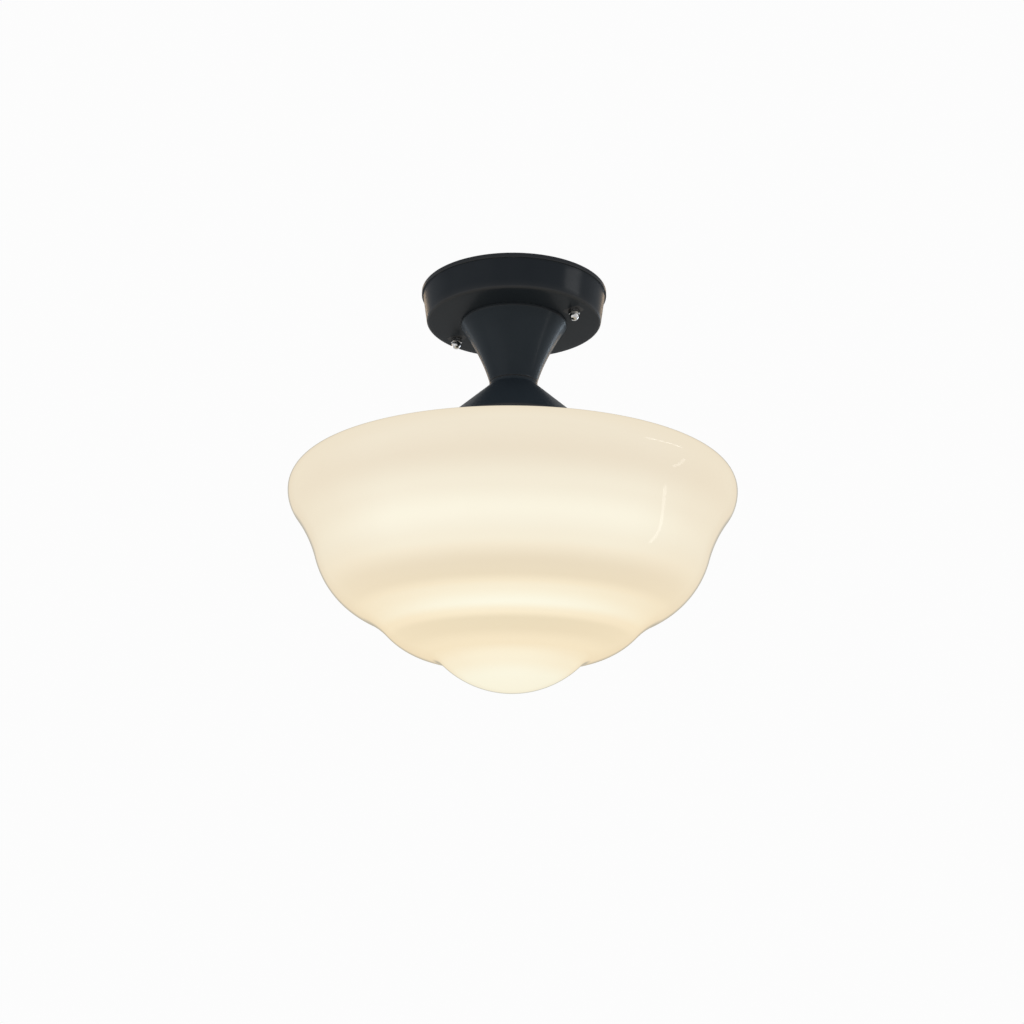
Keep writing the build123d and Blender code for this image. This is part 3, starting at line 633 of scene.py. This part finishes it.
def holderPiece():
    look, sheet, hole, burr = holderShape, steel["sheet"], steel["hole"], steel["burr"]
    hem, foot, top = extent("shade_holder")
    spread = tan(radians(look["flareAngle"]))
    neck, fitter, corner = look["neck"], look["fitter"], look["cornerRound"]
    skirt = fitter + sheet
    flareTop = top - look["neckHeight"]
    innerTop = flareTop - sheet / sin(radians(look["flareAngle"]))
    line = rounded([
        (hole, top, burr), (neck, top, look["neckRound"]), (neck, flareTop, look["flareRound"] / 2),
        (skirt, flareTop - (skirt - neck) / spread, look["flareRound"]),
        (skirt, foot + look["hemHeight"], corner), (hem, foot + look["hemHeight"], look["hemRound"]),
        (hem, foot, look["hemRound"]), (fitter, foot, corner),
        (fitter, innerTop - (fitter - neck) / spread, look["flareRound"] - sheet),
        (neck - sheet, innerTop + sheet / spread, look["insideRound"]), (neck - sheet, top - sheet, corner),
        (hole, top - sheet, burr)])
    made = piece("shadeHolder", turned(dividedLoop(line, 3.0), look["sides"]), "black_paint",
                 "fixture", "shade_holder")
    return drilled(made, [placed(drill(look["screwHole"], fitter, skirt), outward(angle))
                          for angle in screwAngles])


# Glass bowl

def hollowBetween(first, second, hollow):
    # centre of the hollow arc that touches two rounds from outside
    across, up = second[0] - first[0], second[1] - first[1]
    apart = hypot(across, up)
    near, far = first[2] + hollow, second[2] + hollow
    along = (apart ** 2 + near ** 2 - far ** 2) / (2 * apart)
    aside = sqrt(near ** 2 - along ** 2)
    return (first[0] + (along * across - aside * up) / apart,
            first[1] + (along * up + aside * across) / apart)


def direction(start, end):
    return degrees(atan2(end[1] - start[1], end[0] - start[0]))


def bowlWall(inset):
    # the wall from the crown's foot to the tip, moved inward by the inset
    look = bowlShape
    rounds = [(bowlRadius - look["shoulderLow"], widestLevel, look["shoulderLow"])]
    rounds += [(reach, widestLevel - drop, size)
               for reach, drop, size in (look["belly"], look["thirdTier"], look["tip"])]
    top = (bowlRadius - look["shoulderTop"], widestLevel)
    line = arc(top, look["shoulderTop"] - inset, 90 - look["crownSlope"], 0, step=3.0)
    leave = 0
    for first, second, hollow in zip(rounds, rounds[1:], look["hollows"]):
        centre = hollowBetween(first, second, hollow)
        arrive = direction(first, centre)
        line += arc(first, first[2] - inset, leave, arrive)[1:]
        leave = direction(second, centre)
        line += arc(centre, hollow + inset, arrive + 180, leave + 180)[1:]
    return line + arc(rounds[-1], rounds[-1][2] - inset, leave, -90)[1:]


def crownHeight(radius, inset):
    # level of the sloping crown at a radius
    slope = radians(bowlShape["crownSlope"])
    bend = bowlShape["shoulderTop"] - inset
    start = bowlRadius - bowlShape["shoulderTop"] + bend * sin(slope)
    return widestLevel + bend * cos(slope) + (start - radius) * tan(slope)


def bowlPiece():
    look = bowlShape
    neck, wall, lip, root = look["neck"], look["wall"], look["lip"], look["neckRoot"]
    inside = neck - wall
    lipFoot = bowlTop - look["lipHeight"]
    lipRoot, lipUnder, lipOver, lipInside = look["lipRounds"]
    outer = bowlWall(0)
    inner = bowlWall(wall)
    corners = [(x, y, 0) for x, y in reversed(outer)]
    corners += [(neck, crownHeight(neck, 0), root), (neck, lipFoot, lipRoot), (lip, lipFoot, lipUnder),
                (lip, bowlTop, lipOver), (inside, bowlTop, lipInside),
                (inside, crownHeight(inside, wall), root + wall)]
    corners += [(x, y, 0) for x, y in inner]
    corners[0] = (0, outer[-1][1], 0)
    corners[-1] = (0, inner[-1][1], 0)
    line = divided(rounded(corners, closed=False), 4.0)
    return piece("glassBowl", turned(line, look["sides"], closed=False), "opal_glass", "glass", "shade")


for make in (canopyPiece, conePiece, holderPiece, bowlPiece):
    print("made", make().name)


# Nuts, screws and threads

# cornerDrop is a share of how far a corner stands out from the flats
nutShape = {"cornerDrop": 0.6, "boreBevel": 0.3, "step": 0.2, "sides": 96}


def hexagon(flats, turn=0.0):
    # keeps a turned blank inside a hexagon
    def shape(angle, radius, height):
        corner = (angle - radians(turn)) % (pi / 3) - pi / 6
        return min(radius, flats / 2 / cos(corner)), height
    return shape


def hexNut(flats, bore, low, high, spots):
    # nuts with their corners turned off, one at each spot
    look, bevel = nutShape, nutShape["boreBevel"]
    flat, corner = flats / 2, flats / sqrt(3)
    drop = (corner - flat) * look["cornerDrop"]
    line = [(bore + bevel, high)] + divided([(flat, high), (corner, high - drop)], look["step"])
    line += divided([(corner, low + drop), (flat, low)], look["step"])
    line += [(bore + bevel, low), (bore, low + bevel), (bore, high - bevel)]
    return join([placed(turned(line, look["sides"], shape=hexagon(flats)), at(x, y)) for x, y in spots])


def threadRun(pitch, low, high, height):
    # share of a thread's full depth: none at its ends, all of it one pitch further in
    return min(1.0, max(0.0, (height - low) / pitch), max(0.0, (high - height) / pitch))


def screwThread(pitch, depth, low, high, beyond=0.0):
    # cuts a sharp right-hand thread between two levels, past a radius
    def shape(angle, radius, height):
        phase = (height / pitch - angle / (2 * pi)) % 1.0
        cut = depth * (1 - abs(2 * phase - 1)) * threadRun(pitch, low, high, height)
        return radius - (cut if radius > beyond else 0.0), height
    return shape


def rolledThread(pitch, depth, low, high):
    # rounded right-hand thread rolled into sheet, about the middle of its depth
    def shape(angle, radius, height):
        phase = (height / pitch - angle / (2 * pi)) % 1.0
        wave = cos(2 * pi * phase) * threadRun(pitch, low, high, height)
        return radius - depth * (0.5 - 0.5 * wave), height
    return shape


def threadedRod(low, high, look):
    line = divided(rodLine(look["radius"], low, high, look["depth"]), look["pitch"] / 8)
    return turned(line, look["sides"], closed=False,
                  shape=screwThread(look["pitch"], look["depth"], low, high))


jamNutFlats = 7.0


def studPieces():
    low, high = extent("mounting_studs")[1:]
    studs = [placed(threadedRod(low, high, studShape), at(spot.x, spot.y)) for spot in studPlaces]
    piece("mountingStuds", join(studs), "zinc_steel", "fixture", "mounting_studs")
    foot, head = extent("stud_jam_nuts")[1:]
    nuts = hexNut(jamNutFlats, studShape["radius"] + studShape["nutPlay"], foot, head,
                  [(spot.x, spot.y) for spot in studPlaces])
    piece("studJamNuts", nuts, "zinc_steel", "fixture", "stud_jam_nuts")


nippleShape = {"bore": 3.6, "pitch": 0.941, "depth": 0.5, "edge": 0.5, "boreEdge": 0.3, "nutFlats": 14.3,
               "nutPlay": 0.05, "sides": 48}


def nipplePieces():
    look, bore = nippleShape, nippleShape["bore"]
    reach, low, high = extent("nipple")
    line = rounded([(reach, high, look["edge"]), (reach, low, look["edge"]),
                    (bore, low, look["boreEdge"]), (bore, high, look["boreEdge"])])
    thread = screwThread(look["pitch"], look["depth"], low, high, beyond=(reach + bore) / 2)
    mesh = turned(dividedLoop(line, look["pitch"] / 6), look["sides"], shape=thread)
    piece("threadedNipple", mesh, "zinc_steel", "fixture", "nipple")
    for end in ("top", "bottom"):
        foot, head = extent(f"nipple_{end}_nut")[1:]
        mesh = hexNut(look["nutFlats"], reach + look["nutPlay"], foot, head, [(0, 0)])
        piece(f"nippleNut_{end}", mesh, "zinc_steel", "fixture", f"nipple_{end}_nut")


thumbScrew = {
    "radius": 2.08, "pitch": 0.794, "depth": 0.45, "length": 13.89, "sides": 40,  # length with the head
    "spigot": 1.4, "spigotLength": 0.75, "spigotEdge": 0.15,
    "head": 4.8, "headLength": 4.6, "headEdge": 0.6,
    "collar": 3.1, "collarThick": 1.5, "collarEdge": 0.3, "collarSides": 64,
    "knurls": 24, "knurlRadius": 0.42, "knurlInner": 3.5, "knurlSides": 12,
    "dimple": 1.4, "dimpleDepth": 0.6, "dimpleEdge": 0.3,
    "sunk": 1.0,  # how far each length runs into the next
}


def knurled(look):
    # round grooves along a screw's head
    def shape(angle, radius, height):
        step = 2 * pi / look["knurls"]
        aside = ((angle + step / 2) % step - step / 2) * look["head"]
        groove = sqrt(max(0.0, look["knurlRadius"] ** 2 - aside ** 2))
        return min(radius, look["head"] - groove) if radius > look["knurlInner"] else radius, height
    return shape


def thumbScrewPiece(index, angle):
    # drawn along Z, which stands for the distance from the light's axis
    look, sunk = thumbScrew, thumbScrew["sunk"]
    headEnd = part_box("thumbscrew_1")[1].y / mm
    headStart = headEnd - look["headLength"]
    start = headEnd - look["length"]
    shank = threadedRod(start, headStart + sunk, look)
    spigot = turned(rodLine(look["spigot"], start - look["spigotLength"], start + sunk, look["spigotEdge"]),
                    look["sides"], closed=False)
    collar = turned(rodLine(look["collar"], headStart - look["collarThick"], headStart + sunk,
                            look["collarEdge"]), look["collarSides"], closed=False)
    line = rounded([
        (0, headEnd - look["dimpleDepth"], 0), (look["dimple"], headEnd, look["dimpleEdge"]),
        (look["head"], headEnd, look["headEdge"]), (look["head"], headStart, look["headEdge"]),
        (0, headStart, 0)], closed=False)
    head = turned(divided(line, 0.5), look["knurls"] * look["knurlSides"], closed=False, shape=knurled(look))
    mesh = placed(join([shank, spigot, collar, head]), outward(angle))
    return piece(f"thumbScrew_{index}", mesh, "black_paint", f"thumbscrew_turner_{index}",
                 f"thumbscrew_{index}")


lampThread = {"pitch": 3.629, "depth": 0.66, "step": 0.3, "sides": 96}
sleeves = {  # node: name, wall, plain stretch at the foot, whether the thread swells, finish and body
    "bulb_base_shell": ("lampBase", 0.4, 2.0, False, "nickel", "lamp"),
    "socket_shell": ("screwShell", 0.5, 0.23, True, "brass", "fixture"),
}


def threadedSleeve(node):
    name, wall, plain, swells, slotName, body = sleeves[node]
    look = lampThread
    reach, low, high = extent(node)
    depth = -look["depth"] if swells else look["depth"]
    crest = reach + min(0.0, depth)
    line = [(crest, high), (crest, low), (crest - wall, low), (crest - wall, high)]
    shape = rolledThread(look["pitch"], depth, low + plain, high)
    mesh = turned(dividedLoop(line, look["step"]), look["sides"], shape=shape)
    return piece(name, mesh, slotName, body, node)


capNutShape = {"flats": 7.0, "turn": 30.0, "hexHeight": 3.2, "endWall": 1.4, "boreEnd": 0.6, "dome": 3.25,
               "domeGap": 0.05, "face": 3.3, "faceThick": 0.25}


def capNut(side, spot):
    look, step = capNutShape, nutShape["step"]
    foot, top = extent(f"cap_nut_{side}")[1:]
    hexFoot = top - look["hexHeight"]
    flat, corner = look["flats"] / 2, look["flats"] / sqrt(3)
    drop = (corner - flat) * nutShape["cornerDrop"]
    dome, face = look["dome"], top - look["faceThick"]
    bore = studShape["radius"] + studShape["nutPlay"]
    line = [(bore, top), (look["face"], top), (look["face"], face)]
    line += divided([(flat, face), (corner, face - drop / 2),
                     (corner, hexFoot + drop), (flat, hexFoot)], step)
    line += [(dome, hexFoot - look["domeGap"])] + arc((0, foot + dome), dome, 0, -90, step=6.0)
    line[-1] = (0, foot)
    line += [(0, foot + look["endWall"]), (bore, foot + look["endWall"] + look["boreEnd"])]
    blank = turned(line, nutShape["sides"], shape=hexagon(look["flats"], look["turn"]))
    return piece(f"capNut_{side}", placed(blank, at(spot.x, spot.y)), "nickel", "fixture", f"cap_nut_{side}")


for side, spot in zip(("left", "right"), studPlaces):
    capNut(side, spot)
studPieces()
nipplePieces()
for index, angle in enumerate(screwAngles, start=1):
    thumbScrewPiece(index, angle)
for node in sleeves:
    threadedSleeve(node)
print("made nuts, screws and threads")


# Finishes on the frame's own nodes

for row in frame["record"]["subparts"]:
    node = nodes[row["node"]]
    node.data.materials.clear()
    node.data.materials.append(finishes[row["material_slot"]])
print("finishes on the frame's nodes")


# Camera, light and floor

cameraPlace = {
    "from": (0.4923, -0.7879, -0.4336),
    "turn": 32.022,     # about the light's axis, from -Y towards +X
    "lookUp": 16.28,
    "roll": 0.4,
    "lens": 49.8,
    "sensor": 36.0,
}


def makeCamera():
    look = cameraPlace
    data = bpy.data.cameras.new("camera")
    data.lens = look["lens"]
    data.sensor_width = look["sensor"]
    camera = bpy.data.objects.new("camera", data)
    bpy.context.scene.collection.objects.link(camera)
    camera.location = look["from"]
    camera.rotation_mode = "QUATERNION"
    facing = Euler((radians(90 + look["lookUp"]), 0, radians(look["turn"]))).to_quaternion()
    camera.rotation_quaternion = facing @ Quaternion((0, 0, 1), radians(look["roll"]))
    bpy.context.scene.camera = camera


lampPlaces = {  # place, size, watts and colour of each area light
    "softFront": ((-0.9, -2.3, -0.1), (2.6, 2.6), 9.0, (1.0, 1.0, 1.0)),
    "windowSide": ((1.40, 0.78, -0.54), (0.06, 0.62), 1.0, (1.0, 1.0, 1.0)),
    "windowHead": ((1.50, 0.48, 0.32), (0.64, 0.05), 2.2, (1.0, 1.0, 1.0)),
    "rightEdge": ((0.31, 1.98, -0.05), (0.26, 0.75), 6.5, (0.72, 0.86, 1.0)),
    "leftEdge": ((-1.92, 0.57, -0.05), (0.16, 0.75), 1.5, (0.72, 0.86, 1.0)),
    "warmRight": ((-0.21, 1.99, 0.65), (0.35, 0.70), 4.5, (1.0, 0.72, 0.45)),
    "warmLeft": ((-1.70, 1.06, 0.65), (0.35, 0.70), 4.5, (1.0, 0.72, 0.45)),
}
lampTarget = (0, 0, -0.12)


def makeLamps():
    for name, (spot, size, watts, colour) in lampPlaces.items():
        data = bpy.data.lights.new(name, "AREA")
        data.shape = "RECTANGLE"
        data.size, data.size_y = size
        data.energy = watts
        data.color = colour
        lamp = bpy.data.objects.new(name, data)
        bpy.context.scene.collection.objects.link(lamp)
        lamp.location = spot
        lamp.rotation_mode = "QUATERNION"
        lamp.rotation_quaternion = (Vector(lampTarget) - Vector(spot)).to_track_quat("-Z", "Y")
        lamp.visible_camera = False


roomLook = {
    "background": 0.976,
    "daylight": (0.48, 0.48, 0.48, 1.0),
    "paper": (grey(0.86), grey(0.88)),
    "paperScale": 6.0,
    "paperRoughness": 0.9,
    "floorLevel": -1450.0,
    "floorRadius": 3500.0,
    "floorSides": 96,
    "fadeReach": 3.7,  # the paper gives way to the background over this many metres
    "fade": [(0.45, grey(0.82)), (1.0, grey(1.0))],
}


def seenRays(finish):
    # 1 for rays that show the background: camera, glossy and transmission rays
    camera = finish.node("ShaderNodeLightPath", output="Is Camera Ray")
    glossy = finish.node("ShaderNodeLightPath", output="Is Glossy Ray")
    through = finish.node("ShaderNodeLightPath", output="Is Transmission Ray")
    return camera + glossy + through


def makeWorld():
    room = Finish(bpy.data.worlds.new("studio"))
    bpy.context.scene.world = room.owner
    plain = room.node("ShaderNodeBackground", {}, {"Color": roomLook["daylight"], "Strength": 1.0})
    white = room.node("ShaderNodeBackground", {}, {"Color": grey(roomLook["background"]), "Strength": 1.0})
    mixed = room.node("ShaderNodeMixShader", {}, {0: seenRays(room), 1: plain, 2: white})
    room.node("ShaderNodeOutputWorld", {}, {"Surface": mixed})


def makeFloor():
    # paper under the light, which fades into the background towards its edge
    look = roomLook
    finish = newFinish("studio_floor")
    paper = finish.blend(finish.noise(look["paperScale"]), *look["paper"])
    matt = finish.node("ShaderNodeBsdfPrincipled", {}, {
        "Base Color": paper, "Roughness": look["paperRoughness"]})
    white = finish.node("ShaderNodeEmission", {}, {"Color": grey(look["background"]), "Strength": 1.0})
    reach = finish.node("ShaderNodeVectorMath", {"operation": "LENGTH"}, {0: finish.place()}, "Value")
    fade = finish.ramp(reach / look["fadeReach"], look["fade"], "EASE")
    mixed = finish.node("ShaderNodeMixShader", {}, {0: seenRays(finish) * fade, 1: matt, 2: white})
    finish.node("ShaderNodeOutputMaterial", {}, {"Surface": mixed})
    level = look["floorLevel"]
    floor = newObject("floor", turned([(0, level), (look["floorRadius"], level)], look["floorSides"],
                                      closed=False))
    floor.data.materials.append(finish.owner)


makeCamera()
makeLamps()
makeWorld()
makeFloor()
bpy.context.scene.view_settings.view_transform = "Standard"
print("camera, lights and floor made")
